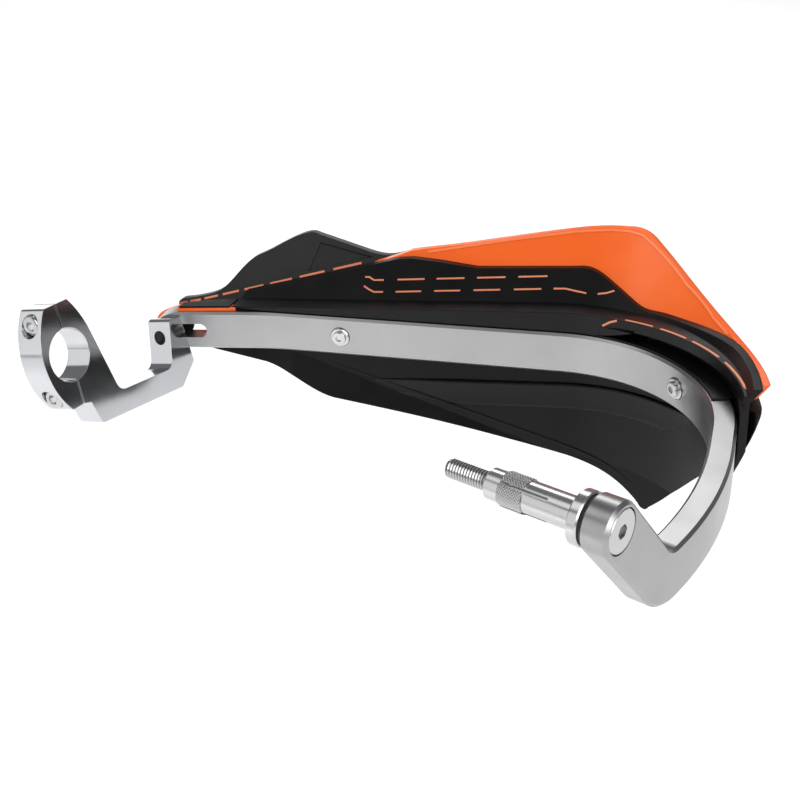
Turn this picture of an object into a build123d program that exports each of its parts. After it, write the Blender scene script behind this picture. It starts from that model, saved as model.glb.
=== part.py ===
from build123d import *
import os
from math import cos, radians, sin, tan

# Motorcycle hand guard for the right grip, in millimetres.
# The origin is the middle of the handlebar clamp's bore: +X outboard, +Y forward, +Z up.

# Handlebar clamp and its arm
handlebar_d = 22.2
clamp_width = 12.3
clamp_half_height = 21.7
clamp_crown = 14.3          # from the bore's middle to the cap's crown
clamp_shoulder = 6.6        # depth of each half at its screws
clamp_yaw = -7.5            # degrees, the bore's axis turned rearward as it runs outboard
clamp_roll = 8.3            # degrees, the bore's axis rising outboard
arm_dip = 17.6              # degrees, the arm's forward direction below the horizontal
split_tilt = 14.3           # degrees, the split between the halves, leaning rearward
split_gap = 0.6
arm_root = (27.3, -18.7)    # inner corner between the ring and the arm
arm_slope = 8.4             # degrees
arm_thick = 10.2
arm_heel = 15.1             # lower rear corner of the arm
arm_toe = 68.9              # lower front corner of the arm
upright_reach = 62.6        # from the bore to the upright's rider side
upright_thick = 8.4         # at the bolt
upright_top = 9.0
upright_back_slope = 50.4   # degrees, the cut below the upright's seat
arm_fillet = 5.0

# Clamp screws
clamp_screw_d = 5.0
clamp_screw_spread = 15.8   # from the bore's middle to each screw
clamp_screw_head_d = 8.5
clamp_screw_head_h = 2.8
clamp_screw_seat = 7.3      # from the split to the seat of the head
clamp_screw_reach = 7.0     # thread in the bracket

# Guard bar, a flat bar bent round the hand
bar_height = 18.0
bar_thick = 8.8
bar_edge = 1.0              # chamfer
bar_drop = 18.4             # middle of the bar below the bore
bolt_to_knee = 48.0         # from the bracket's bolt to the bar's slight knee
knee_r = 70.0
tab_angle = 8.6             # degrees
run_length = 135.5          # from the knee to the bend round the hand
bend_r = 66.0
leg_length = 14.0
bow_r = 150.0
bow_angle = 22.3            # degrees

# Arm of the bar that carries the bar end
end_reach = 34.2            # from the bow's end to the bar-end axis
end_rise = 33.3             # bar-end axis above the bar's middle
end_round_r = 8.5
end_arm_angle = 52.0        # degrees
end_corner_r = 21.0
end_notch_r = 8.0

# Slot and bolt that join the bar to the bracket
slot_length = 23.5
slot_width = 6.8
slot_margin = 2.2           # from the tab's end to the slot
tab_round = 14.0            # length over which the bar's inner end is rounded
bolt_d = 6.0
bolt_from_end = 5.8
bolt_head_d = 10.5
bolt_head_h = 3.3
bolt_engage = 6.5
washer_d = 13.0
washer_length = 15.4        # the washer is longer along the slot
washer_shift = 2.7          # its middle, from the bolt towards the bend
washer_thick = 1.2

# Screws that hold the shield to the bar
shield_screw_lead = 98.7    # first screw, inboard of the bend
shield_screw_angle = 49.4   # degrees round the bend, second screw
shield_screw_d = 4.0
shield_screw_head_d = 6.2
shield_screw_head_h = 1.3
seat_d = 9.2
seat_depth = 0.8
cup_rise = 1.0              # washers stand this much out of the bar
insert_d = 6.0
insert_length = 5.0
boss_d = 9.6
boss_height = 7.0

# Shield, deflector and fin
wall_thick = 2.5
bar_clear = 0.6             # between the bar and the shield's wall
shell_wall = 3.0            # shield wall behind the bar
shelf_rear = 1.5            # rear edge of the shelf over the bar, from the bar's rider side
shelf_clear = 0.4
panel_lean = 38.0           # degrees, the upper panel leaning forward
flare_start = 2.0           # below the bar
flare_step = 1.2            # the flare starts with a step towards the rider
flare_lean = 8.5            # degrees, the flare drawn in under the bar
flare_tuck = 20.0           # degrees, the flare below its crease
layer_gap = 0.4
shield_inboard = 168.0      # reach from the bend towards the clamp
shield_rise = 30.5          # above the bar's middle
shield_drop = 62.5          # lowest tip below the bar's middle
deflector_inboard = 200.0
deflector_rise = 44.7
deflector_drop = 13.5
fin_inboard = 188.0
fin_rise = 35.3
fin_drop = 3.0
recess_depth = 0.8          # three-cornered recess in the fin's rider side
drawn_past = 6.0            # the shells are drawn this much past their outline before they are trimmed
panel_top = 60.0            # height to which the shells are drawn before they are trimmed
flare_foot = -100.0         # depth to which the flare is drawn before it is trimmed
shell_turn = 86.0           # degrees round the bend
deflector_turn = 82.0       # degrees round the bend
crease_lead = 127.0         # the crease starts this far inboard of the bend
crease_below = 1.4          # and this far below the flare's start
crease_fall = 0.30          # the crease drops this much for each millimetre outboard
ledge_climb = 0.05          # the panel's foot climbs this much for each millimetre outboard
ledge_rise = 7.0            # the panel's foot above the bar, at the bend
pocket_turn = 14.0          # degrees round the bend where the pocket over the bar starts
pocket_lift = 4.4           # the shelf stands this much higher over the pocket
lip_turn = 15.0             # degrees round the bend where the shelf starts to narrow to nothing
pad_turn = 24.0             # degrees of the bend thickened at the outer corner
pad_thick = 4.6
pad_height = 12.0           # top of the pad above the bar's middle
trim_screw_d = 3.0
trim_screw_head_d = 5.0
trim_screw_head_h = 1.8
deflector_screw_leads = (46.0, 6.0)    # inboard of the bend
deflector_screw_turn = 30.0            # degrees round the bend, third screw
fin_screw_leads = (142.0, 115.0)       # inboard of the bend
trim_margin = 0.5           # trim screws above the bar, and below half the bar's height

# Bar end
end_bolt_head_d = 13.4
end_bolt_head_h = 2.4
end_bolt_d = 6.0
end_bolt_length = 58.0
seal_thick = 0.8
seal_d = 14.6
collar_d = 16.2
collar_thick = 3.4
sleeve_d = 9.8
sleeve_length = 24.4
sleeve_slit = 1.1
slit_turn = 40.0            # degrees round the sleeve
sleeve_solid = 8.4          # plain length before the slits start
knurl_length = 8.2
knurl_step = 0.25           # knurled band stands proud of the sleeve
cone_length = 4.8
cone_nose_d = 7.6

# Clearances
thread_fit = 0.05
shank_clear = 0.2
head_clear = 0.2
hole_spare = 0.6            # blind holes beyond the screw's tip
hex_of_head = 0.45          # socket width over head width

bar_z = -bar_drop
bar_half = bar_height / 2
screw_turn = radians(shield_screw_angle)


def unit(x, y, z):
    return Vector(x, y, z).normalized()


# Directions of the clamp: bore axis, forward along the arm, and up
bore_axis = unit(cos(radians(clamp_roll)) * cos(radians(clamp_yaw)),
                 cos(radians(clamp_roll)) * sin(radians(clamp_yaw)),
                 sin(radians(clamp_roll)))
level_forward = Vector(0, 0, 1).cross(bore_axis).normalized()
level_up = bore_axis.cross(level_forward)
arm_forward = level_forward * cos(radians(arm_dip)) - level_up * sin(radians(arm_dip))
clamp_plane = Plane(origin=(0, 0, 0), x_dir=arm_forward, z_dir=bore_axis)
split_forward = arm_forward * cos(radians(split_tilt)) + clamp_plane.y_dir * sin(radians(split_tilt))
split_plane = Plane(origin=(0, 0, 0), x_dir=split_forward, z_dir=bore_axis)

# The bar's inner end lies on the upright, with the bolt in the middle of the upright's rider side
tab_dir = Vector(cos(radians(tab_angle)), sin(radians(tab_angle)), 0)
tab_out = Vector(-sin(radians(tab_angle)), cos(radians(tab_angle)), 0)
bolt_climb = (bar_z - arm_forward.Z * upright_reach) / clamp_plane.y_dir.Z
bolt_seat = arm_forward * upright_reach + clamp_plane.y_dir * bolt_climb + tab_out * upright_thick
tab_end = bolt_seat - tab_dir * bolt_from_end
tab_plane = Plane(origin=tab_end, x_dir=tab_dir, z_dir=tab_out)
tab_length = bolt_from_end + bolt_to_knee
knee_tangent = knee_r * tan(radians(tab_angle) / 2)
knee_point = bolt_seat + tab_dir * bolt_to_knee
bar_ahead = knee_point.Y
bend_x = knee_point.X + run_length

# The bar's outer end and its axis
bow_turn = radians(bow_angle)
bow_start = Vector(bend_x + bend_r, bar_ahead - bend_r - leg_length, bar_z)
bow_end = bow_start + Vector(-bow_r * (1 - cos(bow_turn)), -bow_r * sin(bow_turn), 0)
end_along = Vector(-sin(bow_turn), -cos(bow_turn), 0)
end_axis = Vector(cos(bow_turn), -sin(bow_turn), 0)
plate_plane = Plane(origin=bow_end + end_axis * bar_thick, x_dir=end_along, z_dir=-end_axis)
end_centre = bow_end + end_along * end_reach + Vector(0, 0, end_rise)
end_plane = Plane(origin=end_centre + end_axis * bar_thick, x_dir=end_along, z_dir=end_axis)


def drum(radius, low, high, plane=Plane.XY):
    """Cylinder between two heights of a plane."""
    return plane * (Pos(0, 0, (low + high) / 2) * Cylinder(radius, high - low))


def hexagon(across, low, high):
    return Pos(0, 0, low) * extrude(RegularPolygon(across / 2, 6, major_radius=False), high - low)


def screw(shank_d, length, head_d, head_h):
    """Round-headed screw with a hex socket; the head seats on z = 0."""
    head = fillet(drum(head_d / 2, 0, head_h).edges().sort_by(Axis.Z)[-1], head_h * 0.4)
    body = head + drum(shank_d / 2, -length, 0)
    return body - hexagon(head_d * hex_of_head, head_h * 0.35, head_h + 1)


def station(x):
    """Plane across the bar at a run length: local x points away from the hand, local y up."""
    if x <= bend_x:
        return Plane(origin=(x, bar_ahead, bar_z), x_dir=(0, 1, 0), z_dir=(1, 0, 0))
    turn = (x - bend_x) / bend_r
    middle = Vector(bend_x, bar_ahead - bend_r, bar_z)
    outward = Vector(sin(turn), cos(turn), 0)
    return Plane(origin=middle + outward * bend_r, x_dir=outward, z_dir=(cos(turn), -sin(turn), 0))


def outward_plane(x, height):
    """Plane on the bar's rider side at a run length, facing away from the hand."""
    here = station(x)
    return Plane(origin=here.from_local_coords((0, height, 0)), x_dir=here.z_dir, z_dir=here.x_dir)


screw_runs = (bend_x - shield_screw_lead, bend_x + bend_r * screw_turn)


def bar_edge_path(offset):
    """Plan of the bar's rider side, or of its far side when offset by the thickness."""
    start = tab_end + tab_out * offset
    tab = Line(start, start + tab_dir * (tab_length - knee_tangent))
    knee = JernArc(tab @ 1, tab % 1, knee_r + offset, -tab_angle)
    run = Line(knee @ 1, (bend_x, bar_ahead + offset, bar_z))
    bend = JernArc(run @ 1, run % 1, bend_r + offset, -90)
    leg = Line(bend @ 1, (bend @ 1) - Vector(0, leg_length, 0))
    bow = JernArc(leg @ 1, leg % 1, bow_r + offset, -bow_angle)
    return [tab, knee, run, bend, leg, bow]


def make_strip():
    near = bar_edge_path(0)
    far = bar_edge_path(bar_thick)
    caps = [Line(near[0] @ 0, far[0] @ 0), Line(near[-1] @ 1, far[-1] @ 1)]
    plan = Pos(0, 0, -bar_half) * make_face(near + far + caps)
    strip = extrude(plan, bar_height, dir=(0, 0, 1))
    level = strip.edges().filter_by(GeomType.LINE) + strip.edges().filter_by(GeomType.CIRCLE)
    joint = (near[-1] @ 1 + far[-1] @ 1) / 2
    rims = [e for e in level if abs((e % 0.5).Z) < 0.01 and abs(((e @ 0.5) - joint).dot(end_along)) > 0.01]
    return chamfer(rims, bar_edge)


def make_end_plate():
    """Flat end of the bar: it turns up in an arm to the bar-end axis."""
    rise = radians(end_arm_angle)
    across = Vector(sin(rise), -cos(rise))
    centre = Vector(end_reach, end_rise)
    low_edge = centre + across * end_round_r
    top_edge = centre - across * end_round_r
    tip = centre + Vector(cos(rise), sin(rise)) * end_round_r
    low_corner = Vector(low_edge.X - (low_edge.Y + bar_half) / tan(rise), -bar_half)
    notch = Vector(top_edge.X - (top_edge.Y - bar_half) / tan(rise), bar_half)
    outline = Polyline(top_edge, notch, (0, bar_half), (0, -bar_half), low_corner, low_edge)
    face = make_face([outline, ThreePointArc(low_edge, tip, top_edge)])
    corners = face.vertices()
    face = fillet(corners.sort_by_distance((low_corner.X, low_corner.Y, 0))[0], end_corner_r)
    face = fillet(face.vertices().sort_by_distance((notch.X, notch.Y, 0))[0], end_notch_r)
    plate = extrude(face, bar_thick)
    rims = [e for e in plate.edges() if abs((e % 0.5).Z) < 0.01 and (e @ 0.5).X > 0.01]
    return plate_plane * chamfer(rims, bar_edge)


def tab_corners():
    """What is cut from the bar's inner end to round it."""
    square = Pos(0, 0, bar_thick / 2) * Box(2 * tab_round, 2 * bar_height, 2 * bar_thick)
    rounded = Pos(tab_round, 0, -bar_thick) * extrude(Ellipse(tab_round, bar_half), 4 * bar_thick)
    return square - rounded


def make_guard_bar():
    bar = make_strip() + make_end_plate()
    middle = slot_margin + slot_length / 2
    slot = extrude(Pos(middle, 0, -1) * SlotOverall(slot_length, slot_width), bar_thick + 2)
    bar -= tab_plane * slot
    bar -= tab_plane * tab_corners()
    for run in screw_runs:
        here = outward_plane(run, 0)
        bar -= drum(shield_screw_d / 2 + shank_clear, -1, bar_thick + 1, here)
        bar -= drum(seat_d / 2, -2, seat_depth, here)
    bar -= drum(end_bolt_d / 2 + shank_clear, -bar_thick - 1, 1, end_plane)
    bar -= drum(end_bolt_head_d / 2 + head_clear, -end_bolt_head_h, 1, end_plane)
    return bar


def split_point(depth, along):
    """Point of the clamp profile, by its depth from the split and its place along the split."""
    tilt = radians(split_tilt)
    return Vector(depth * cos(tilt) - along * sin(tilt), depth * sin(tilt) + along * cos(tilt))


def make_bracket():
    half = clamp_half_height
    slope = tan(radians(arm_slope))
    far = upright_reach + 2 * arm_thick
    under = arm_thick / cos(radians(arm_slope))

    def arm_top(p):
        return arm_root[1] + (p - arm_root[0]) * slope

    toe = Vector(arm_toe, arm_top(arm_toe) - under)
    heel = Vector(arm_heel, arm_top(arm_heel) - under)
    crest = split_point(clamp_shoulder, half)
    brow = split_point(clamp_crown, half / 4)
    root = Vector(*arm_root)
    upright_root = Vector(upright_reach, arm_top(upright_reach))
    seat_low = Vector(far, toe.Y + (far - toe.X) * tan(radians(upright_back_slope)))
    edge = [
        Line(split_point(0, half), crest),
        ThreePointArc(crest, split_point(clamp_crown * 0.81, half * 0.62), brow),
        Polyline(brow, root, upright_root, (upright_reach, upright_top), (far, upright_top),
                 seat_low, toe, heel, split_point(clamp_shoulder * 0.6, -half * 1.05),
                 split_point(0, -half), split_point(0, half)),
    ]
    face = make_face(edge)
    rounds = ((root, arm_fillet), (upright_root, arm_fillet), (heel, arm_fillet / 3), (toe, arm_fillet / 3),
              (Vector(upright_reach, upright_top), arm_fillet / 2))
    for corner, radius in rounds:
        face = fillet(face.vertices().sort_by_distance((corner.X, corner.Y, 0))[0], radius)
    bracket = clamp_plane * (Pos(0, 0, -clamp_width / 2) * extrude(face, clamp_width))
    bracket -= tab_plane * (Pos(0, 0, far / 2) * Box(4 * far, 4 * far, far))
    bracket -= split_cut()
    bracket -= bore_cut()
    for side in (-1, 1):
        here = clamp_screw_plane(side)
        bracket -= drum(clamp_screw_d / 2 + thread_fit, -1, clamp_screw_reach + hole_spare, here)
    bracket -= drum(bolt_d / 2 + thread_fit, -upright_reach / 2, 1, bolt_plane())
    return bracket


def make_cap():
    half = clamp_half_height
    edge = [
        Polyline(split_point(-clamp_shoulder, half), split_point(0, half), split_point(0, -half),
                 split_point(-clamp_shoulder, -half)),
        ThreePointArc(split_point(-clamp_shoulder, -half), split_point(-clamp_crown, 0),
                      split_point(-clamp_shoulder, half)),
    ]
    face = make_face(edge)
    for side in (-1, 1):
        corner = split_point(-clamp_shoulder, side * half)
        face = fillet(face.vertices().sort_by_distance((corner.X, corner.Y, 0))[0], arm_fillet / 3)
    cap = clamp_plane * (Pos(0, 0, -clamp_width / 2) * extrude(face, clamp_width))
    cap -= split_cut()
    cap -= bore_cut()
    for side in (-1, 1):
        here = clamp_screw_plane(side)
        cap -= drum(clamp_screw_d / 2 + shank_clear, -clamp_crown, clamp_crown, here)
        cap -= drum(clamp_screw_head_d / 2 + head_clear, -2 * clamp_crown, -clamp_screw_seat, here)
    return cap


def split_cut():
    return split_plane * Box(split_gap, 4 * clamp_half_height, 2 * clamp_width)


def bore_cut():
    return drum(handlebar_d / 2, -clamp_width, clamp_width, clamp_plane)


def clamp_screw_plane(side):
    """Plane on a clamp screw's axis at the split, facing the bracket."""
    place = split_plane.from_local_coords((0, side * clamp_screw_spread, 0))
    return Plane(origin=place, x_dir=split_plane.z_dir, z_dir=split_plane.x_dir)


def make_clamp_screws():
    body = screw(clamp_screw_d, clamp_screw_seat + clamp_screw_reach, clamp_screw_head_d, clamp_screw_head_h)
    placed = Pos(0, 0, -clamp_screw_seat) * Rot(180, 0, 0) * body
    return [clamp_screw_plane(side) * placed for side in (-1, 1)]


def bolt_plane():
    """Plane on the bolt's axis at the bar's rider side, facing forward."""
    return Plane(origin=bolt_seat, x_dir=tab_dir, z_dir=tab_out)


def make_bolt():
    grip = washer_thick + bar_thick
    body = screw(bolt_d, grip + bolt_engage, bolt_head_d, bolt_head_h)
    return bolt_plane() * (Pos(0, 0, grip) * body)


def make_washer():
    ring = extrude(Pos(washer_shift, 0, bar_thick) * SlotOverall(washer_length, washer_d), washer_thick)
    return bolt_plane() * (ring - drum(bolt_d / 2 + shank_clear, 0, 2 * bar_thick))


# Section of the shells across the bar, in distance from the bar's rider side and height
wall_out = bar_thick + bar_clear + shell_wall
shell_out = bend_r + wall_out + pad_thick
lean = tan(radians(panel_lean))
bend_centre = Axis((bend_x, bar_ahead - bend_r, 0), (0, 0, -1))
crease_start = bend_x - crease_lead
ledge_end = bar_half + ledge_rise


def corner_height(x):
    """Height where the walls start to lean."""
    return ledge_end - ledge_climb * (bend_x - x)


def wall_point(x, layer, height):
    """Point on the shells' wall, at a distance in front of the shield's front face."""
    bend = corner_height(x) - layer * tan(radians(panel_lean) / 2)
    return (wall_out + layer + max(0, height - bend) * lean, height)


def wall_bend(x, layer):
    return wall_point(x, layer, corner_height(x) - layer * tan(radians(panel_lean) / 2))


def shield_section(x, lift=0.0):
    inner = bar_thick + bar_clear
    knee = -bar_half - flare_start
    crease = knee - crease_below - crease_fall * max(0, x - crease_start)
    step_n = inner - flare_step
    crease_n = step_n + (crease - knee) * tan(radians(flare_lean))
    foot_n = crease_n + (flare_foot - crease) * tan(radians(flare_tuck))
    under = bar_half + shelf_clear + lift
    ledge = corner_height(x) + wall_thick
    brow = ledge - 0.8 * shelf_clear
    return [
        (foot_n, flare_foot), (crease_n, crease), (step_n, knee), (inner, knee + flare_step), (inner, under),
        (shelf_rear, under), (shelf_rear, brow), wall_point(x, -wall_thick, ledge),
        wall_point(x, -wall_thick, panel_top), wall_point(x, 0, panel_top), wall_bend(x, 0),
        (wall_out, knee), (crease_n + shell_wall, crease), (foot_n + wall_thick, flare_foot),
    ]


def layer_section(x, near, far):
    """Section of a sheet laid over the shield's front."""
    return [wall_point(x, near, -bar_half), wall_bend(x, near), wall_point(x, near, panel_top),
            wall_point(x, far, panel_top), wall_bend(x, far), wall_point(x, far, -bar_half)]


def turned_run(turn):
    """Run length of a place round the bend."""
    return bend_x + bend_r * radians(turn)


def skin(sections, arcs):
    """Shell drawn straight through a section at each run length, then round the bend in arcs."""
    faces = [station(x) * make_face(Polyline(*points, close=True)) for x, points in sections]
    shell = loft(faces, ruled=True)
    for begin, end, points in arcs:
        face = station(turned_run(begin)) * make_face(Polyline(*points, close=True))
        shell += revolve(face, bend_centre, end - begin)
    return shell


def layer_skin(inboard, near, thick=wall_thick, turn=shell_turn):
    first = bend_x - inboard - drawn_past
    sections = [(x, layer_section(x, near, near + thick)) for x in (first, bend_x)]
    return skin(sections, [(0, turn, sections[-1][1])])


def front_cut(edges):
    """Solid that keeps what lies inside an outline seen from the front."""
    face = Plane.XZ * (Pos(bend_x, bar_z) * make_face(edges))
    return extrude(face, 2 * (bar_ahead + bend_r), both=True)


def traced(points, inboard, rise, drop):
    """Outline points, from shares of the reaches to either side of the bend and above or below the bar."""
    return [(x * (shell_out if x > 0 else inboard), y * (rise if y > 0 else drop)) for x, y in points]


def corner_pad():
    """Thicker outer corner of the shield, on its front below the deflector."""
    start = turned_run(shell_turn - pad_turn)
    low = -bar_half - 3 * pad_thick
    edge = Polyline((wall_out - shell_wall / 2, low), (wall_out - shell_wall / 2, pad_height),
                    (wall_out + pad_thick, pad_height), (wall_out + pad_thick, low), close=True)
    pad = revolve(station(start) * make_face(edge), bend_centre, pad_turn)
    lead = pad.faces().sort_by_distance(station(start).origin)[0]
    front = [e for e in lead.edges() if abs((e % 0.5).Z) > 0.9]
    return chamfer(front[-1:], pad_thick * 0.9)


def shelf_trim():
    """What is cut from the shelf over the pocket, so that it narrows towards the outer corner."""
    foot = wall_point(bend_x, -wall_thick, ledge_end + wall_thick)[0]
    past = shell_turn + drawn_past
    rim = []
    for share in (0, 0.2, 0.4, 0.6, 0.8, 1):
        here = station(turned_run(lip_turn + share * (past - lip_turn)))
        rim.append(here.from_local_coords((shelf_rear + share * (foot - shelf_rear), 0, 0)))
    inside = [station(turned_run(turn)).from_local_coords((-bar_height, 0, 0)) for turn in (past, lip_turn)]
    face = make_face([Spline(*rim), Polyline(rim[-1], *inside, rim[0])])
    low = bar_half + shelf_clear + 0.9 * pocket_lift
    return extrude(Pos(0, 0, low) * face, panel_top, dir=(0, 0, 1))


def make_shield():
    reach = (shield_inboard, shield_rise, shield_drop)
    left = [(0.048, 1), (-0.238, 0.923), (-0.345, 0.968), (-0.417, 0.987), (-0.458, 0.968), (-0.89, 0.443),
            (-0.905, 0.328), (-1, -0.032), (-1, -0.232), (-0.833, -0.296)]
    step = [(-0.833, -0.296), (-0.792, -0.33), (-0.667, -0.49), (-0.631, -0.518)]
    belly = [(-0.631, -0.518), (-0.304, -0.646), (0.048, -0.81), (0.265, -0.878), (0.434, -0.981)]
    tip = [(0.434, -0.981), (0.47, -1), (0.494, -0.973)]
    corner = [(0.494, -0.973), (0.651, -0.726), (0.759, -0.506), (0.88, -0.256), (0.94, -0.064),
              (0.988, 0.328)]
    side = [(0.988, 0.328), (1.012, 0.689)]
    brow = [(1.012, 0.689), (0.964, 0.697), (0.875, 0.717), (0.781, 0.698), (0.684, 0.675), (0.586, 0.659),
            (0.484, 0.652), (0.408, 0.65), (0.327, 0.734), (0.242, 0.852), (0.158, 0.964), (0.048, 1)]
    edges = [Polyline(*traced(points, *reach)) for points in (left, side)]
    edges.append(ThreePointArc(*traced(tip, *reach)))
    edges += [Spline(*traced(points, *reach)) for points in (step, belly, corner, brow)]
    first = bend_x - shield_inboard - drawn_past
    sections = [(x, shield_section(x)) for x in (first, crease_start, bend_x)]
    arcs = [(0, pocket_turn, shield_section(bend_x)),
            (pocket_turn, shell_turn, shield_section(bend_x, pocket_lift))]
    shield = (skin(sections, arcs) + corner_pad()) & front_cut(edges)
    shield -= shelf_trim()
    for run in screw_runs:
        here = outward_plane(run, 0)
        shield += drum(boss_d / 2, bar_thick + shank_clear, bar_thick + shank_clear + boss_height, here)
        shield -= drum(insert_d / 2, bar_thick - 1, bar_thick + shank_clear + insert_length, here)
    for here in deflector_screw_planes() + fin_screw_planes():
        shield -= drum(trim_screw_d / 2 + thread_fit, -shell_wall - 1, 1, here)
    return shield


deflector_near = layer_gap
fin_near = 2 * layer_gap + wall_thick


def make_deflector():
    reach = (deflector_inboard, deflector_rise, deflector_drop)
    tail = [(-1, -0.85), (-0.9985, -0.267), (-0.9875, -0.059), (-0.963, 0.038), (-0.93, 0.09), (-0.78, 0.112)]
    climb = [(-0.78, 0.112), (-0.75, 0.25), (-0.466, 0.54), (-0.44, 0.6), (-0.395, 0.66), (-0.36, 0.713),
             (-0.34, 0.727), (-0.27, 0.769)]
    crown = [(-0.27, 0.769), (-0.16, 0.846), (-0.05, 0.924), (0.181, 0.991), (0.289, 1)]
    turn = [(0.289, 1), (0.386, 0.98), (0.446, 0.917)]
    fall = [(0.446, 0.917), (0.554, 0.778), (0.663, 0.647), (0.771, 0.544), (0.873, 0.48), (0.955, 0.455),
            (1.084, 0.465)]
    foot = [(1.084, 0.465), (1.084, 0.4), (0.964, 0.33), (0.723, 0.24), (0.53, 0.125), (-0.505, 0.134),
            (-0.545, -0.111), (-0.9, -0.111), (-0.955, -0.3), (-0.975, -1), (-0.985, -1), (-1, -0.85)]
    edges = [Spline(*traced(points, *reach)) for points in (tail, crown, turn, fall)]
    edges += [Polyline(*traced(points, *reach)) for points in (climb, foot)]
    deflector = layer_skin(deflector_inboard, deflector_near, turn=deflector_turn) & front_cut(edges)
    for here in deflector_screw_planes() + fin_screw_planes():
        deflector -= drum(trim_screw_d / 2 + shank_clear, -1, fin_near, here)
    return deflector


def make_fin():
    reach = (fin_inboard, fin_rise, fin_drop)
    rise = [(-1, 0.096), (-0.996, 0.15), (-0.971, 0.191), (-0.94, 0.217), (-0.91, 0.255), (-0.883, 0.309),
            (-0.84, 0.519), (-0.787, 0.728)]
    crest = [(-0.787, 0.728), (-0.737, 0.85), (-0.69, 0.96), (-0.66, 1), (-0.636, 0.985)]
    slope = [(-0.636, 0.985), (-0.5, 0.838)]
    tail = [(-0.5, 0.838), (-0.47, 0.812), (-0.449, 0.806), (-0.428, 0.816), (-0.406, 0.842)]
    foot = [(-0.406, 0.842), (-0.479, 0.453), (-0.532, 0.227), (-0.585, -1), (-0.798, -1), (-1, -0.333),
            (-1, 0.096)]
    edges = [Spline(*traced(points, *reach)) for points in (rise, crest, tail)]
    edges += [Polyline(*traced(points, *reach)) for points in (slope, foot)]
    recess = [(-0.632, 0.9), (-0.653, 0.581), (-0.485, 0.78)]
    pocket = layer_skin(fin_inboard, fin_near - layer_gap, layer_gap + recess_depth)
    fin = layer_skin(fin_inboard, fin_near) & front_cut(edges)
    fin -= pocket & front_cut([Polyline(*traced(recess, *reach), close=True)])
    for here in fin_screw_planes():
        fin -= drum(trim_screw_d / 2 + shank_clear, -1, fin_near + 2 * wall_thick, here)
    return fin


def trim_plane(x, height):
    """Plane on the shield's front face at a run length, facing forward."""
    here = outward_plane(x, height)
    return Plane(origin=here.from_local_coords((0, 0, wall_out)), x_dir=here.x_dir, z_dir=here.z_dir)


def deflector_screw_planes():
    runs = [bend_x - lead for lead in deflector_screw_leads]
    runs.append(turned_run(deflector_screw_turn))
    return [trim_plane(run, bar_half + trim_margin) for run in runs]


def fin_screw_planes():
    return [trim_plane(bend_x - lead, bar_half / 2 - trim_margin) for lead in fin_screw_leads]


def trim_screws(planes, seat):
    body = screw(trim_screw_d, seat + shell_wall, trim_screw_head_d, trim_screw_head_h)
    return [here * (Pos(0, 0, seat) * body) for here in planes]


def make_shield_screws():
    reach = bar_thick + insert_length - seat_depth + cup_rise
    body = screw(shield_screw_d, reach, shield_screw_head_d, shield_screw_head_h)
    placed = Pos(0, 0, -cup_rise) * Rot(180, 0, 0) * body
    return [outward_plane(run, 0) * placed for run in screw_runs]


def make_shield_washers():
    cup = drum(seat_d / 2 - head_clear, -cup_rise, seat_depth)
    cup = chamfer(cup.edges().sort_by(Axis.Z)[0], seat_depth / 2)
    cup -= drum(shield_screw_d / 2 + shank_clear, -cup_rise - 1, seat_depth + 1)
    return [outward_plane(run, 0) * cup for run in screw_runs]


def make_inserts():
    low = bar_thick + shank_clear
    body = drum(insert_d / 2 - thread_fit, low, low + insert_length)
    body -= drum(shield_screw_d / 2 + thread_fit, 0, low + insert_length + 1)
    return [outward_plane(run, 0) * body for run in screw_runs]


# Depths along the bar-end axis, from the outer face of the bar inwards
seal_top = -bar_thick
collar_top = seal_top - seal_thick
sleeve_top = collar_top - collar_thick
cone_top = sleeve_top - sleeve_length


def make_end_bolt():
    head = drum(end_bolt_head_d / 2, -end_bolt_head_h, 0)
    head = chamfer(head.edges().sort_by(Axis.Z)[-1], end_bolt_head_h / 6)
    shank = drum(end_bolt_d / 2, -end_bolt_length, -end_bolt_head_h)
    shank = chamfer(shank.edges().sort_by(Axis.Z)[0], end_bolt_d / 8)
    socket = hexagon(end_bolt_d * 0.66, -end_bolt_head_h * 0.8, 1)
    return end_plane * (head + shank - socket)


def ring(outer_d, low, high):
    return drum(outer_d / 2, low, high) - drum(end_bolt_d / 2 + shank_clear, low - 1, high + 1)


def make_seal():
    return end_plane * ring(seal_d, collar_top, seal_top)


def make_collar():
    body = ring(collar_d, sleeve_top, collar_top)
    rims = body.edges().filter_by(GeomType.CIRCLE).group_by(SortBy.RADIUS)[-1]
    return end_plane * chamfer(rims, collar_thick / 8)


def make_sleeve():
    body = ring(sleeve_d, cone_top, sleeve_top)
    body += ring(sleeve_d + 2 * knurl_step, cone_top, cone_top + knurl_length)
    body -= Pos(0, 0, cone_top) * cone_shape(thread_fit)
    slit_length = sleeve_length - sleeve_solid
    for turn in (slit_turn, slit_turn + 90):
        slit = Box(2 * sleeve_d, sleeve_slit, 2 * slit_length)
        body -= Pos(0, 0, cone_top) * Rot(0, 0, turn) * slit
    return end_plane * body


def cone_shape(extra):
    """Cone nut: its wide end stands out of the sleeve, its nose spreads the sleeve."""
    nose = cone_length * 0.55
    wide = sleeve_d / 2 - 0.2
    taper = Pos(0, 0, nose / 2) * Cone(wide + extra, cone_nose_d / 2 + extra, nose)
    return taper + drum(wide + extra, -cone_length, 0)


def make_cone():
    body = cone_shape(0) - drum(end_bolt_d / 2 + thread_fit, -2 * cone_length, 2 * cone_length)
    return end_plane * (Pos(0, 0, cone_top) * body)


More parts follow.
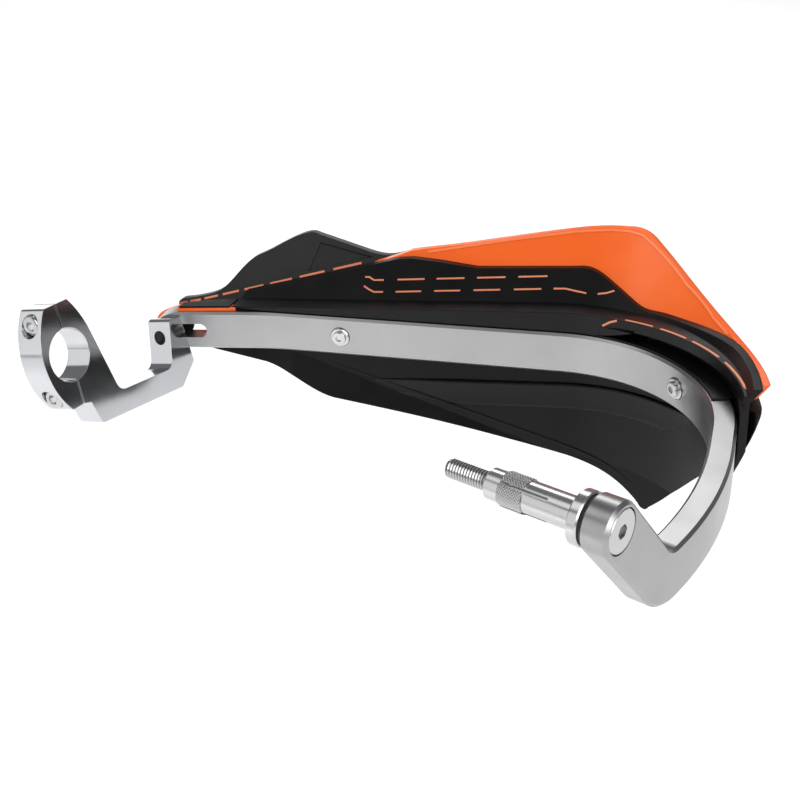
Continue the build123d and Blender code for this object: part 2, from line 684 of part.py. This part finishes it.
nodes = {
    "guard_bar": [make_guard_bar()],
    "clamp_bracket": [make_bracket()],
    "clamp_cap": [make_cap()],
    "clamp_screws": make_clamp_screws(),
    "bracket_bolt": [make_bolt()],
    "bracket_washer": [make_washer()],
    "shield": [make_shield()],
    "deflector": [make_deflector()],
    "front_fin": [make_fin()],
    "shield_screws": make_shield_screws(),
    "shield_washers": make_shield_washers(),
    "shield_inserts": make_inserts(),
    "deflector_screws": trim_screws(deflector_screw_planes(), deflector_near + wall_thick),
    "fin_screws": trim_screws(fin_screw_planes(), fin_near + wall_thick),
    "end_bolt": [make_end_bolt()],
    "end_seal": [make_seal()],
    "end_collar": [make_collar()],
    "expander_sleeve": [make_sleeve()],
    "expander_cone": [make_cone()],
}

os.makedirs("parts", exist_ok=True)
for name, pieces in nodes.items():
    solids = [solid for piece in pieces for solid in piece.solids()]
    export_step(Compound(solids), f"parts/{name}.step")
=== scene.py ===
from math import cos, floor, pi, radians, sin

import bmesh
import bpy
from mathutils import Matrix, Vector
from mathutils.bvhtree import BVHTree


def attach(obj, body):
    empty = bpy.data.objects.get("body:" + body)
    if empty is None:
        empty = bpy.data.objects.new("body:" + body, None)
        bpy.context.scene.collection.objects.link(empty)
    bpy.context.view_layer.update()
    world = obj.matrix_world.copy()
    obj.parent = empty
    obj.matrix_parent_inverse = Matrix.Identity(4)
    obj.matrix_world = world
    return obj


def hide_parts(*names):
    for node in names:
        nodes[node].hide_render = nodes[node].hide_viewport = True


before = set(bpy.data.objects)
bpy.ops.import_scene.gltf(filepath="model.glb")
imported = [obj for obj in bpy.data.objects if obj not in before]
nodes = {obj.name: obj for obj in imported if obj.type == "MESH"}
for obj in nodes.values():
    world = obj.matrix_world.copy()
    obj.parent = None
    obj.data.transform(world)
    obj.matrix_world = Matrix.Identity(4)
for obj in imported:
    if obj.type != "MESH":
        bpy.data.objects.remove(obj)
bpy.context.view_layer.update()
scene = bpy.context.scene
scene.view_settings.view_transform = "Standard"
MM = 0.001

# Places repeated from the model, in millimetres
bend_x = 192.168  # where the bar's bend starts
bend_r = 66.0
bar_ahead = 74.397  # rider side of the straight bar
bar_top = -9.4
shelf_rear = 1.5  # rear edge of the shelf over the bar, from the bar's rider side

# Bar end: middle of its outer face, the way outwards along the bolt, and two ways across the bolt
bar_end_face = Vector((242.114, -97.503, 14.9))
bar_end_axis = Vector((0.92521, -0.379456, 0.0))
bar_end_along = Vector((-0.379456, -0.92521, 0.0))
bar_end_side = bar_end_axis.cross(bar_end_along)

# End bolt and the raised band of the sleeve, with depths inwards from the bar's outer face
bolt_r = 3.0
bolt_head = 2.4
bolt_length = 58.0
thread_start = 38.0
thread_pitch = 1.0
thread_depth = 0.5
thread_columns = 48  # points round the bolt
band_r = 5.15
band_low = 29.2
band_high = 37.4
slit = 1.1
slit_turn = radians(40.0)

# Finish: how often tones and gloss change in a metre, and the stretch of the noise that they use
tone_scale = 28.0
tone_span = (0.35, 0.65)
gloss_scale = 75.0
gloss_span = (0.3, 0.7)

# Grain: its depth in millimetres, then how often it changes in a metre and how strong it is
grain_depth = 0.05
moulded_grain = (2600.0, 0.12)
gloss_grain = (900.0, 0.03)

# Fold of the flare: how far it reaches above and below its line
fold_nose = 1.2
fold_fade = 12.0


def bar_end_point(radius, angle, depth):
    """Point round the bar-end axis, at a depth inwards from the bar's outer face."""
    spoke = bar_end_along * cos(angle) + bar_end_side * sin(angle)
    return (bar_end_face - bar_end_axis * depth + spoke * radius) * MM


def wave(t):
    """Triangle wave between 0 and 1."""
    return abs(2 * (t - floor(t)) - 1)


# Materials
def noise(tree, scale, detail):
    """Noise over an object's own coordinates."""
    node = tree.nodes.new("ShaderNodeTexNoise")
    node.inputs["Scale"].default_value = scale
    node.inputs["Detail"].default_value = detail
    place = tree.nodes.new("ShaderNodeTexCoord")
    tree.links.new(place.outputs["Object"], node.inputs["Vector"])
    return node.outputs["Fac"]


def two_tones(tree, tones):
    """Colour that drifts between two close tones."""
    ramp = tree.nodes.new("ShaderNodeValToRGB")
    for element, position, tone in zip(ramp.color_ramp.elements, tone_span, tones):
        element.position = position
        element.color = (*tone, 1.0)
    tree.links.new(noise(tree, tone_scale, detail=3.0), ramp.inputs["Fac"])
    return ramp.outputs["Color"]


def groove_shaded(tree, colour, groove_shade):
    """Colour darkened by painted shade, as deep as a point says that it lies in a groove."""
    depth = tree.nodes.new("ShaderNodeAttribute")
    depth.attribute_name = "groove"
    mix = tree.nodes.new("ShaderNodeMixRGB")
    mix.inputs["Color2"].default_value = (*groove_shade, 1.0)
    tree.links.new(depth.outputs["Fac"], mix.inputs["Fac"])
    tree.links.new(colour, mix.inputs["Color1"])
    return mix.outputs["Color"]


def uneven_gloss(tree, rough):
    """Roughness that drifts between two values."""
    gloss = tree.nodes.new("ShaderNodeMapRange")
    for side, (low, high) in (("From", gloss_span), ("To", rough)):
        gloss.inputs[f"{side} Min"].default_value = low
        gloss.inputs[f"{side} Max"].default_value = high
    tree.links.new(noise(tree, gloss_scale, detail=4.0), gloss.inputs["Value"])
    return gloss.outputs["Result"]


def softened(tree, edge):
    """Normal that rounds edges over a radius in millimetres."""
    soft = tree.nodes.new("ShaderNodeBevel")
    soft.samples = 6
    soft.inputs["Radius"].default_value = edge * MM
    return soft.outputs["Normal"]


def grained(tree, facing, scale, strength):
    """Normal with fine grain on it."""
    bump = tree.nodes.new("ShaderNodeBump")
    bump.inputs["Strength"].default_value = strength
    bump.inputs["Distance"].default_value = grain_depth * MM
    tree.links.new(noise(tree, scale, detail=2.0), bump.inputs["Height"])
    tree.links.new(facing, bump.inputs["Normal"])
    return bump.outputs["Normal"]


def surface(name, tones, rough, metal=0.0, grain=None, edge=0.0, groove=None, **sockets):
    """Material with two close tones, uneven gloss, fine grain, softened edges and painted shade in cut
    grooves.
    """
    made = bpy.data.materials.new(name)
    made.use_nodes = True
    tree = made.node_tree
    shader = tree.nodes["Principled BSDF"]
    shader.inputs["Metallic"].default_value = metal
    for socket, value in sockets.items():
        shader.inputs[socket.replace("_", " ")].default_value = value
    colour = two_tones(tree, tones)
    # Painted shade: the colour darkens where a point lies deep in a cut groove.
    if groove:
        colour = groove_shaded(tree, colour, groove)
    facing = tree.nodes.new("ShaderNodeNewGeometry").outputs["Normal"]
    if edge:
        facing = softened(tree, edge)
    if grain:
        facing = grained(tree, facing, *grain)
    tree.links.new(colour, shader.inputs["Base Color"])
    tree.links.new(uneven_gloss(tree, rough), shader.inputs["Roughness"])
    tree.links.new(facing, shader.inputs["Normal"])
    return made


black = surface("moulded_black", ((0.0022, 0.0022, 0.0024), (0.0034, 0.0034, 0.0037)), (0.28, 0.38),
                grain=moulded_grain, edge=0.6, Specular_IOR_Level=0.24)
fin_black = surface("fin_black", ((0.008, 0.008, 0.0083), (0.011, 0.011, 0.0115)), (0.3, 0.42),
                    grain=moulded_grain, edge=0.6, Specular_IOR_Level=0.5)
orange = surface("gloss_orange", ((0.86, 0.122, 0.012), (0.90, 0.14, 0.017)), (0.2, 0.28),
                 grain=gloss_grain, edge=0.5, Coat_Weight=0.2, Coat_Roughness=0.08)
# Lighter orange for the deflector's raised rim line: painted highlight.
highlit_rim_orange = surface("highlit_rim_orange", ((0.93, 0.22, 0.08), (0.95, 0.25, 0.1)), (0.2, 0.28),
                     grain=gloss_grain, edge=0.1)
printed = surface("printed_orange", ((0.66, 0.21, 0.1), (0.72, 0.24, 0.12)), (0.35, 0.45),
                  grain=(1800.0, 0.05), edge=0.1)
satin = surface("satin_aluminium", ((0.38, 0.38, 0.385), (0.41, 0.41, 0.415)), (0.28, 0.34), metal=1.0)
polished = surface("polished_aluminium", ((0.60, 0.61, 0.63), (0.64, 0.65, 0.67)), (0.1, 0.15),
                   metal=1.0, edge=0.4)
# Bright steel, with a dark colour in its cut grooves as painted shade.
steel = surface("bright_steel", ((0.55, 0.55, 0.555), (0.60, 0.60, 0.605)), (0.2, 0.27),
                metal=1.0, groove=(0.07, 0.07, 0.07))
dark_steel = surface("black_screws", ((0.02, 0.02, 0.02), (0.03, 0.03, 0.03)), (0.35, 0.45),
                     metal=0.6, grain=(2200.0, 0.1), edge=0.2)
brass = surface("turned_brass", ((0.6, 0.42, 0.14), (0.68, 0.48, 0.18)), (0.2, 0.3),
                metal=1.0, grain=(1500.0, 0.05), edge=0.2)
rubber = surface("seal_rubber", ((0.012, 0.012, 0.012), (0.018, 0.018, 0.018)), (0.55, 0.7),
                 grain=(2400.0, 0.2), edge=0.3)

looks = {
    black: ("shield",),
    fin_black: ("front_fin",),
    orange: ("deflector",),
    satin: ("guard_bar",),
    polished: ("clamp_bracket", "clamp_cap"),
    steel: ("clamp_screws", "shield_screws", "shield_washers", "end_bolt", "end_collar",
            "expander_sleeve", "expander_cone"),
    dark_steel: ("bracket_bolt", "bracket_washer", "deflector_screws", "fin_screws"),
    brass: ("shield_inserts",),
    rubber: ("end_seal",),
}
for look, names in looks.items():
    for name in names:
        nodes[name].data.materials.clear()
        nodes[name].data.materials.append(look)


# Pieces
def piece(name, mesh_points, faces, look, smooth=True, grooves=None):
    """New piece on the one body, from points in metres and how deep each lies in a groove, which sets its
    painted shade.
    """
    mesh = bpy.data.meshes.new(name)
    mesh.from_pydata([tuple(p) for p in mesh_points], [], faces)
    mesh.validate()
    if grooves:
        layer = mesh.attributes.new("groove", "FLOAT", "POINT")
        layer.data.foreach_set("value", grooves)
    mesh.materials.append(look)
    mesh.polygons.foreach_set("use_smooth", [smooth] * len(mesh.polygons))
    made = bpy.data.objects.new(name, mesh)
    scene.collection.objects.link(made)
    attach(made, "root")
    return made


def thicken(made, depth):
    """Close a skin by giving it a depth in millimetres, inwards."""
    shell = made.modifiers.new("shell", "SOLIDIFY")
    shell.thickness = depth * MM
    shell.offset = -1.0


def grid_faces(rows, columns, skip=()):
    """Faces of a tube of rows by columns points, closed round."""
    faces = []
    for row in range(rows - 1):
        for column in range(columns):
            if column in skip:
                continue
            after = (column + 1) % columns
            faces.append((row * columns + column, (row + 1) * columns + column,
                          (row + 1) * columns + after, row * columns + after))
    return faces


# Thread and knurl of the bar end
def over_slit(angle):
    """Whether an angle round the sleeve lies over one of its four slits."""
    turns = [angle - slit_turn - quarter * pi / 2 for quarter in range(4)]
    return any(abs(band_r * sin(turn)) < slit / 2 and cos(turn) > 0 for turn in turns)


def knurl():
    """Diamond knurl round the raised band of the expander, open at the slits."""
    diamonds = 34
    diamond_length = 0.92
    crest_rise = 0.26
    band_gap = 0.01
    skin = 0.1
    # Strength of the painted shade at the bottom of the knurl's grooves.
    groove_shade = 0.6
    diamond_columns = 8
    columns = diamonds * diamond_columns
    rows = 81
    fade_rows = 4
    height = band_high - band_low
    points = []
    grooves = []
    for row in range(rows):
        depth = band_low + height * row / (rows - 1)
        climb = (depth - band_low) / diamond_length
        ease = min(1.0, min(row, rows - 1 - row) / fade_rows)
        for column in range(columns):
            turns = diamonds * column / columns
            crest = min(wave(turns + climb), wave(turns - climb)) * ease
            radius = band_r + band_gap + crest_rise * crest
            points.append(bar_end_point(radius, 2 * pi * column / columns, depth))
            grooves.append(groove_shade * (1.0 - crest) ** 3)
    gap = {column for column in range(columns) if over_slit(2 * pi * (column + 0.5) / columns)}
    faces = grid_faces(rows, columns, gap)
    thicken(piece("sleeve_knurl", points, faces, steel, grooves=grooves), skin)


def thread_points():
    """Rings of points from the bolt's head to its tip, and how deep each point lies in the thread, which
    sets its painted shade.
    """
    steps = 14
    plain_end = 0.5
    tip_length = 0.8
    tip_slope = 0.8
    # Strength of the painted shade at the bottom of the thread.
    groove_shade = 0.85
    rows = int((bolt_length - thread_start) / thread_pitch * steps)
    depths = [bolt_head, thread_start - plain_end]
    depths += [thread_start + thread_pitch * row / steps for row in range(rows + 1)]
    points = []
    grooves = []
    for depth in depths:
        ease = min(1.0, max(0.0, (depth - thread_start) / (2 * thread_pitch)))
        point_in = max(0.0, depth - bolt_length + tip_length) * tip_slope
        for column in range(thread_columns):
            share = column / thread_columns
            groove = wave(depth / thread_pitch + share)
            radius = bolt_r - thread_depth * ease * groove - point_in
            points.append(bar_end_point(radius, 2 * pi * share, depth))
            grooves.append(groove_shade * ease * groove ** 1.5)
    return points, grooves


def threaded_bolt():
    """End bolt with its head from the model and a cut thread on its free length."""
    weld = 0.001
    slack = 0.01
    sharp = radians(30.0)
    points, grooves = thread_points()
    faces = grid_faces(len(points) // thread_columns, thread_columns)
    faces.append(tuple(reversed(range(len(points) - thread_columns, len(points)))))
    shank = piece("end_bolt_threaded", points, faces, steel, grooves=grooves)
    whole = bmesh.new()
    whole.from_mesh(shank.data)
    whole.from_mesh(nodes["end_bolt"].data)
    whole.verts.ensure_lookup_table()
    bmesh.ops.remove_doubles(whole, verts=whole.verts[len(points):], dist=weld * MM)
    start = bar_end_face * MM

    def depth_of(vert):
        return -(vert.co - start).dot(bar_end_axis)

    def on_shank(vert):
        depth = depth_of(vert)
        radius = (vert.co - start + bar_end_axis * depth).length
        return depth > (bolt_head - slack) * MM and radius < (bolt_r + slack) * MM

    whole.verts.ensure_lookup_table()
    old = [v for v in whole.verts[len(points):] if on_shank(v)]
    bmesh.ops.delete(whole, geom=old, context="VERTS")
    bmesh.ops.bridge_loops(whole, edges=[e for e in whole.edges if e.is_boundary])
    for edge in whole.edges:
        if depth_of(edge.verts[0]) < (bolt_head + slack) * MM:
            edge.smooth = edge.calc_face_angle(0.0) < sharp
    bmesh.ops.recalc_face_normals(whole, faces=whole.faces)
    whole.to_mesh(shank.data)
    whole.free()
    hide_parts("end_bolt")


# Lines that lie on the mouldings, as run lengths along the bar and heights or reaches
def along(run, height):
    """Point on the bar's rider side at a run length and height, and the way outwards there."""
    turn = max(0.0, run - bend_x) / bend_r
    out = Vector((sin(turn), cos(turn), 0.0))
    return Vector((min(run, bend_x), bar_ahead - bend_r, height)) + out * bend_r, out


def ahead_of(run, reach, height):
    """Point at a reach outwards from the bar's rider side."""
    start, out = along(run, height)
    return start + out * reach


def turned_run(turn):
    """Run length at a number of degrees round the bend."""
    return bend_x + bend_r * radians(turn)


def carrier(*names):
    """Surface of the named nodes, to lay lines on."""
    joined = bmesh.new()
    for name in names:
        joined.from_mesh(nodes[name].data)
    tree = BVHTree.FromBMesh(joined)
    joined.free()
    return tree


def spread(corners):
    """Points in small steps along a line of corner points."""
    steps = 6
    ends = [Vector(corner) for corner in corners]
    track = [a.lerp(b, step / steps) for a, b in zip(ends, ends[1:]) for step in range(steps)]
    return track + ends[-1:]


def on_wall(tree, run, height):
    """Place and normal on a wall, met square from the bar's rider side."""
    start, out = along(run, height)
    return tree.ray_cast(start * MM, out)[:2]


def on_lip(tree, run, reach):
    """Place and normal on a top face, met from above."""
    start = ahead_of(run, reach, bar_top + 2 * bend_r)
    return tree.ray_cast(start * MM, Vector((0, 0, -1)))[:2]


def wall_tracks(tree, lines):
    """Places and normals on a wall along each of some lines of corner points."""
    return [[on_wall(tree, *spot) for spot in spread(line)] for line in lines]


def strip(name, tracks, look, width, height, taper=1):
    """Thin raised lines through places on a surface, narrowing over a number of places at their ends."""
    sunk = 0.1
    top_share = 0.85
    points = []
    faces = []
    for track in tracks:
        start = len(points)
        for index, (spot, normal) in enumerate(track):
            ahead = track[min(index + 1, len(track) - 1)][0] - track[max(index - 1, 0)][0]
            size = min(1.0, (index + 1) / taper, (len(track) - index) / taper)
            across = normal.cross(ahead).normalized() * width * size * MM / 2
            lift = normal * height * size * MM
            sink = normal * sunk * MM
            points += [spot + across - sink, spot + across * top_share + lift,
                       spot - across * top_share + lift, spot - across - sink]
        for low in range(start, len(points) - 4, 4):
            faces += [(low + k, low + (k + 1) % 4, low + 4 + (k + 1) % 4, low + 4 + k) for k in range(4)]
        faces.append((start + 3, start + 2, start + 1, start))
        faces.append(tuple(range(len(points) - 4, len(points))))
    piece(name, points, faces, look, smooth=False)


shield_face = carrier("shield")
trim_face = carrier("front_fin", "deflector")
rim_face = carrier("deflector")


def edge_dashes():
    """Dashes up the sloping edge of the fin, longer and further apart towards the crest."""
    count = 8
    first = 5.0
    pitch = 5.8
    pitch_growth = 1.76
    dash_share = 0.74
    foot = -15.7
    slope = 0.232
    lines = []
    for _ in range(count):
        last = first + dash_share * pitch
        lines.append([(run, foot + slope * run) for run in (first, last)])
        first += pitch
        pitch += pitch_growth
    strip("edge_dashes", wall_tracks(trim_face, lines), printed, width=1.2, height=0.15)


def panel_dashes():
    """Two rows of dashes on the panel, with crooked dashes at both ends."""
    count = 4
    row_start = 116.5
    slope = 0.075
    lines = [[(101, 3.8), (103, 3.9), (105.4, 2.9), (110, 3.2)],
             [(101, 0.5), (103.7, -0.6), (106.2, -1.4), (110.5, -1.1)],
             [(187, 4.6), (192, 4.9), (196, 4.3), (199.5, 3.9)],
             [(203.5, 4.1), (206.5, 4.8), (209, 6.0)]]
    for row_height, pitch, length in ((3.7, 18.2, 12.6), (-0.7, 17.8, 11.8)):
        for k in range(count):
            first = row_start + pitch * k
            last = first + length
            lines.append([(run, row_height + slope * (run - row_start)) for run in (first, last)])
    strip("panel_dashes", wall_tracks(shield_face, lines), printed, width=0.85, height=0.12)


def lip_dashes():
    """Dashes round the lip over the bend, the first one climbing on to it."""
    lip_turn = 23.0
    lip_reach = 3.5
    reach_growth = 0.13
    tracks = wall_tracks(shield_face, [[(210.0, -3.9), (212.7, -2.0), (215.9, -0.6)]])
    for first, last in ((23.2, 33.2), (36.1, 46.3), (49.1, 61.7), (65.2, 82.0)):
        turns = (first, (first + last) / 2, last)
        corners = [(turned_run(turn), lip_reach + reach_growth * (turn - lip_turn)) for turn in turns]
        tracks.append([on_lip(shield_face, *spot) for spot in spread(corners)])
    strip("lip_dashes", tracks, printed, width=1.0, height=0.12)


def flare_crease():
    """Raised crease that runs down the flare."""
    start = 84.0
    start_height = -34.7
    slope = -0.27
    runs = (start, 120.0, 156.0, bend_x, 210.0, 226.0)
    line = [(run, start_height + slope * (run - start)) for run in runs]
    strip("flare_crease", wall_tracks(shield_face, [line]), black,
          width=1.3, height=0.4, taper=8)


def deflector_rim():
    """Raised line just inside the deflector's upper and outer edge, in a lighter orange that is a painted
    highlight.
    """
    line = [(128, 13.3), (160, 18.8), (bend_x, 23.6), (203, 25.2), (208, 25.4), (212, 24.6), (220.5, 18.9),
            (230.7, 12.1), (246.2, 5.4), (254.7, 3.4)]
    strip("deflector_rim", wall_tracks(rim_face, [line]), highlit_rim_orange, width=1.1, height=0.3)


def fold_rise(below):
    """Share of the fold's full height at a distance below its line."""
    if below < 0:
        return 1.0 - (below / fold_nose) ** 2
    return (1.0 - below / fold_fade) ** 2


def flare_fold():
    """Moulded step of the flare under the bar, fading into the flare below it."""
    first = 100.0
    last = 252.0
    lead_in = 40
    lead_out = 16
    line_run = 114.0
    line_height = -41.0
    line_slope = 0.055
    full_rise = 1.5
    sunk = 0.04
    skin = 0.3
    narrowest = 0.25
    falls = (-fold_nose, -0.9, -0.6, -0.3, 0.0, 0.6, 1.4, 2.4, 3.6, 5.2, 7.2, 9.4, fold_fade)
    rows = 77
    points = []
    for row in range(rows):
        run = first + (last - first) * row / (rows - 1)
        line = line_height + line_slope * (run - line_run)
        size = min(1.0, (run - first) / lead_in, (last - run) / lead_out)
        width = narrowest + (1 - narrowest) * size
        for below in falls:
            spot, normal = on_wall(shield_face, run, line - below * width)
            points.append(spot + normal * (full_rise * size * fold_rise(below) - sunk) * MM)
    across = len(falls)
    faces = [(low, low + 1, low + across + 1, low + across)
             for row in range(rows - 1) for low in range(row * across, (row + 1) * across - 1)]
    thicken(piece("flare_fold", points, faces, black), skin)


# Trim on the bar's top
def plate(name, corners, look, low, high):
    """Flat piece over a plan outline, between two heights in millimetres."""
    count = len(corners)
    points = [Vector((x, y, z)) * MM for z in (low, high) for x, y in corners]
    faces = [tuple(reversed(range(count))), tuple(range(count, 2 * count))]
    faces += [(k, (k + 1) % count, count + (k + 1) % count, count + k) for k in range(count)]
    piece(name, points, faces, look, smooth=False)


def pocket_floor():
    """Floor of the pocket between the bar and the lip, on the bar's top round the bend."""
    first_turn = 14.0
    sweep = 60.0
    depth = 7.6
    thick = 0.8
    steps = 24
    runs = [turned_run(first_turn + sweep * step / steps) for step in range(steps + 1)]
    rear = [ahead_of(run, shelf_rear, 0) for run in runs]
    front = [ahead_of(run, shelf_rear + depth, 0) for run in reversed(runs)]
    corners = [spot.xy for spot in rear + front]
    plate("pocket_floor", corners, black, low=bar_top, high=bar_top + thick)


def pocket_ramp():
    """Ramp that closes the pocket's inboard end, under the lip."""
    first_turn = 13.8
    sweep = 13.0
    rear = shelf_rear + 0.05
    front = shelf_rear + 7.0
    low = bar_top + 0.9
    high = bar_top + 5.0
    thinnest = 0.05
    steps = 12
    points = []
    for step in range(steps + 1):
        share = step / steps
        run = turned_run(first_turn + sweep * share)
        foot = low + (high - low - thinnest) * share ** 1.5
        points += [ahead_of(run, reach, height) * MM for reach in (rear, front) for height in (foot, high)]
    ring = (0, 1, 3, 2)
    faces = [ring, tuple(4 * steps + k for k in reversed(ring))]
    for row in range(0, 4 * steps, 4):
        for k, after in zip(ring, ring[1:] + ring[:1]):
            faces.append((row + k, row + 4 + k, row + 4 + after, row + after))
    piece("pocket_ramp", points, faces, black, smooth=False)


def tail_trim():
    """Orange strip on the bar's inner end, and the black cover on that strip."""
    strip_top = bar_top + 1.3
    cover_top = bar_top + 2.0
    plate("tail_strip", [(15.5, 69.8), (42.5, 74.7), (42.5, 75.7), (38.3, 75.7), (38.3, 79.0), (15.5, 75.5)],
          orange, low=bar_top, high=strip_top)
    plate("tail_cover", [(15.8, 70.7), (39.6, 75.1), (39.6, 84.4), (15.8, 76.0)],
          black, low=strip_top, high=cover_top)


knurl()
threaded_bolt()
edge_dashes()
panel_dashes()
lip_dashes()
flare_crease()
deflector_rim()
flare_fold()
pocket_floor()
pocket_ramp()
tail_trim()


# Camera, floor and soft studio light, in metres
def photo_camera():
    """Camera at the photograph's viewpoint."""
    eye = Vector((0.2719, -0.3397, 0.1832))
    back = Vector((0.306, -0.832, 0.464)).normalized()
    right = Vector((0.948, 0.311, -0.067))
    right = (right - back * right.dot(back)).normalized()
    up = back.cross(right)
    lens = bpy.data.cameras.new("view")
    lens.lens = 49.5
    lens.sensor_width = 36.0
    camera = bpy.data.objects.new("view", lens)
    turn = Matrix((right, up, back)).transposed().to_4x4()
    camera.matrix_world = Matrix.Translation(eye) @ turn
    scene.collection.objects.link(camera)
    scene.camera = camera


def pale_floor():
    """Wide plain floor below the part."""
    half = 6.0
    level = -0.32
    corners = [(-half, -half, level), (half, -half, level), (half, half, level), (-half, half, level)]
    ground = bpy.data.meshes.new("floor")
    ground.from_pydata(corners, [], [(0, 1, 2, 3)])
    look = bpy.data.materials.new("pale_floor")
    look.use_nodes = True
    shader = look.node_tree.nodes["Principled BSDF"]
    shader.inputs["Base Color"].default_value = (0.93, 0.93, 0.93, 1.0)
    shader.inputs["Roughness"].default_value = 0.9
    ground.materials.append(look)
    floor_piece = bpy.data.objects.new("floor", ground)
    scene.collection.objects.link(floor_piece)


def softbox(name, place, aim, size, power, mirrored=True):
    """Rectangular soft light, seen in shiny surfaces or not."""
    light = bpy.data.lights.new(name, "AREA")
    light.shape = "RECTANGLE"
    light.size, light.size_y = size
    light.energy = power
    lamp = bpy.data.objects.new(name, light)
    lamp.location = place
    lamp.visible_glossy = mirrored
    lamp.rotation_euler = (Vector(aim) - Vector(place)).to_track_quat("-Z", "Y").to_euler()
    scene.collection.objects.link(lamp)


def studio_world():
    """Weak even light from all round."""
    world = bpy.data.worlds.new("studio")
    world.use_nodes = True
    background = world.node_tree.nodes["Background"]
    background.inputs["Color"].default_value = (0.97, 0.98, 1.0, 1.0)
    background.inputs["Strength"].default_value = 0.2
    scene.world = world


photo_camera()
pale_floor()
softbox("ceiling", place=(-1.2, 2.0, 2.2), aim=(-1.2, 2.0, 0.0), size=(3.0, 3.8), power=105.0,
        mirrored=False)
softbox("backdrop", place=(-3.4, 4.6, 0.6), aim=(0.0, 0.0, 0.2), size=(5.0, 1.8), power=36.0)
softbox("key", place=(0.95, -0.9, 0.85), aim=(0.13, 0.0, 0.0), size=(1.4, 1.4), power=14.5)
softbox("left", place=(-1.5, -1.2, 0.55), aim=(0.05, 0.0, 0.0), size=(2.6, 1.6), power=11.0)
softbox("high", place=(-0.9, -0.35, 1.75), aim=(0.1, 0.0, 0.0), size=(0.9, 0.9), power=2.8)
softbox("front", place=(-0.1, 2.55, 1.95), aim=(0.2, 0.0, 0.0), size=(1.6, 0.9), power=14.0)
softbox("right", place=(1.5, -1.3, 0.45), aim=(0.2, 0.0, 0.0), size=(1.2, 0.9), power=4.5)
softbox("pool", place=(-0.25, -0.52, -0.02), aim=(-0.25, -0.52, -0.32), size=(0.25, 0.25), power=0.6)
studio_world()
